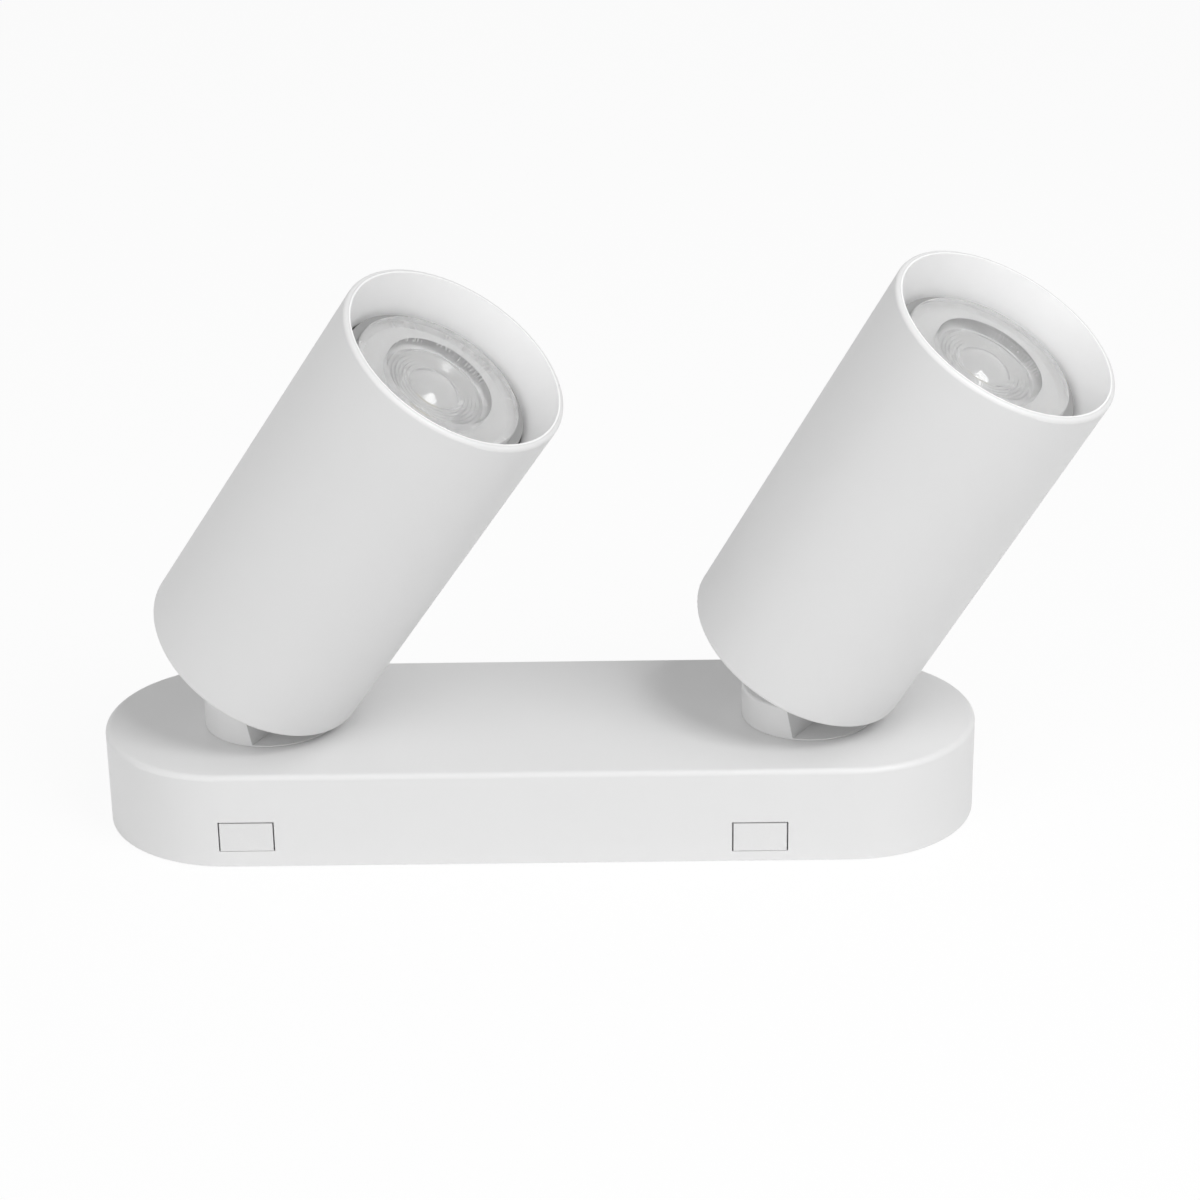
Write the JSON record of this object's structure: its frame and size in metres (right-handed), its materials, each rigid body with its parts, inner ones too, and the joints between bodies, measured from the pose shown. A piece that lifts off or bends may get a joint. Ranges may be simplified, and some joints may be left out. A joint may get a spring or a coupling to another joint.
{
  "type": "twin spotlight",
  "caption": "White spotlight for a wall or ceiling: a long round-ended base carries tube heads that turn and tilt, each with a recessed lamp behind a flared ring.",
  "frame": {"origin": "centre of the wall face of the mounting plate", "axes": "+X along the base, to the right in the picture; +Z away from the wall, up in the picture; -Y towards the front"},
  "size_m": [0.2637, 0.0939, 0.1594],
  "materials": {
    "white_coat": "satin",
    "white_plastic": "satin",
    "zinc_steel": "satin",
    "brass": "satin",
    "black_rubber": "matte",
    "grey_plastic": "matte",
    "clear_lens": "polished",
    "ceramic": "matte",
    "board": "matte",
    "phosphor": "gloss",
    "wire_sleeve": "matte"
  },
  "bodies": {
    "base": {"base_cover": "white_coat", "mounting_plate": "zinc_steel", "cable_bush": "black_rubber", "terminal_block": "white_plastic", "clamp_screws": "brass", "block_screws": "zinc_steel", "latch_guides": "zinc_steel", "latch_springs": "zinc_steel", "supply_leads_left": "wire_sleeve", "supply_leads_right": "wire_sleeve"},
    "latch_front_left": {"latch_front_left": "white_plastic"},
    "latch_front_right": {"latch_front_right": "white_plastic"},
    "latch_rear_left": {"latch_rear_left": "white_plastic"},
    "latch_rear_right": {"latch_rear_right": "white_plastic"},
    "swivel_left": {"swivel_collar_left": "white_coat", "swivel_nipple_left": "zinc_steel", "wave_washer_left": "zinc_steel", "stop_washer_left": "zinc_steel", "lock_nut_left": "zinc_steel"},
    "head_left": {"head_tube_left": "white_coat", "rear_cap_left": "white_plastic", "glare_ring_left": "white_plastic", "carrier_plate_left": "zinc_steel", "pivot_bracket_left": "zinc_steel", "bracket_screws_left": "zinc_steel", "pivot_bolt_left": "zinc_steel", "pivot_nut_left": "zinc_steel", "lampholder_left": "ceramic", "lampholder_screws_left": "zinc_steel", "lamp_leads_left": "wire_sleeve"},
    "lamp_left": {"lamp_housing_left": "grey_plastic", "lamp_lens_left": "clear_lens", "lamp_pins_left": "brass", "led_board_left": "board", "led_chip_left": "phosphor", "lamp_reflector_left": "white_plastic"},
    "swivel_right": {"swivel_collar_right": "white_coat", "swivel_nipple_right": "zinc_steel", "wave_washer_right": "zinc_steel", "stop_washer_right": "zinc_steel", "lock_nut_right": "zinc_steel"},
    "head_right": {"head_tube_right": "white_coat", "rear_cap_right": "white_plastic", "glare_ring_right": "white_plastic", "carrier_plate_right": "zinc_steel", "pivot_bracket_right": "zinc_steel", "bracket_screws_right": "zinc_steel", "pivot_bolt_right": "zinc_steel", "pivot_nut_right": "zinc_steel", "lampholder_right": "ceramic", "lampholder_screws_right": "zinc_steel", "lamp_leads_right": "wire_sleeve"},
    "lamp_right": {"lamp_housing_right": "grey_plastic", "lamp_lens_right": "clear_lens", "lamp_pins_right": "brass", "led_board_right": "board", "led_chip_right": "phosphor", "lamp_reflector_right": "white_plastic"}
  },
  "joints": [
    {"name": "latch_front_left_press", "type": "slide", "parent": "base", "child": "latch_front_left", "axis": [0, 1, 0], "range_m": [0, 0.002], "stiffness_N_per_m": 800, "springref_m": -0.0005, "deforming": ["latch_springs"]},
    {"name": "latch_front_right_press", "type": "slide", "parent": "base", "child": "latch_front_right", "axis": [0, 1, 0], "range_m": [0, 0.002], "stiffness_N_per_m": 800, "springref_m": -0.0005, "deforming": ["latch_springs"]},
    {"name": "latch_rear_left_press", "type": "slide", "parent": "base", "child": "latch_rear_left", "axis": [0, -1, 0], "range_m": [0, 0.002], "stiffness_N_per_m": 800, "springref_m": -0.0005, "deforming": ["latch_springs"]},
    {"name": "latch_rear_right_press", "type": "slide", "parent": "base", "child": "latch_rear_right", "axis": [0, -1, 0], "range_m": [0, 0.002], "stiffness_N_per_m": 800, "springref_m": -0.0005, "deforming": ["latch_springs"]},
    {"name": "left_swivel", "type": "hinge", "parent": "base", "child": "swivel_left", "pos_m": [-0.0725, 0, 0.0265], "axis": [0, 0, 1], "range_deg": [-312, 8]},
    {"name": "left_tilt", "type": "hinge", "parent": "swivel_left", "child": "head_left", "pos_m": [-0.0725, 0, 0.0515], "axis": [0.4695, 0.8829, 0], "range_deg": [-35, 5]},
    {"name": "left_lamp_twist", "type": "hinge", "parent": "head_left", "child": "lamp_left", "pos_m": [-0.0725, 0, 0.0515], "axis": [0.5064, -0.2693, 0.8192], "range_deg": [0, 20]},
    {"name": "right_swivel", "type": "hinge", "parent": "base", "child": "swivel_right", "pos_m": [0.0725, 0, 0.0265], "axis": [0, 0, 1], "range_deg": [-87.5, 172.5]},
    {"name": "right_tilt", "type": "hinge", "parent": "swivel_right", "child": "head_right", "pos_m": [0.0725, 0, 0.0515], "axis": [0.5373, 0.8434, 0], "range_deg": [-30.5, 9.5]},
    {"name": "right_lamp_twist", "type": "hinge", "parent": "head_right", "child": "lamp_right", "pos_m": [0.0725, 0, 0.0515], "axis": [0.4281, -0.2727, 0.8616], "range_deg": [0, 20]}
  ]
}
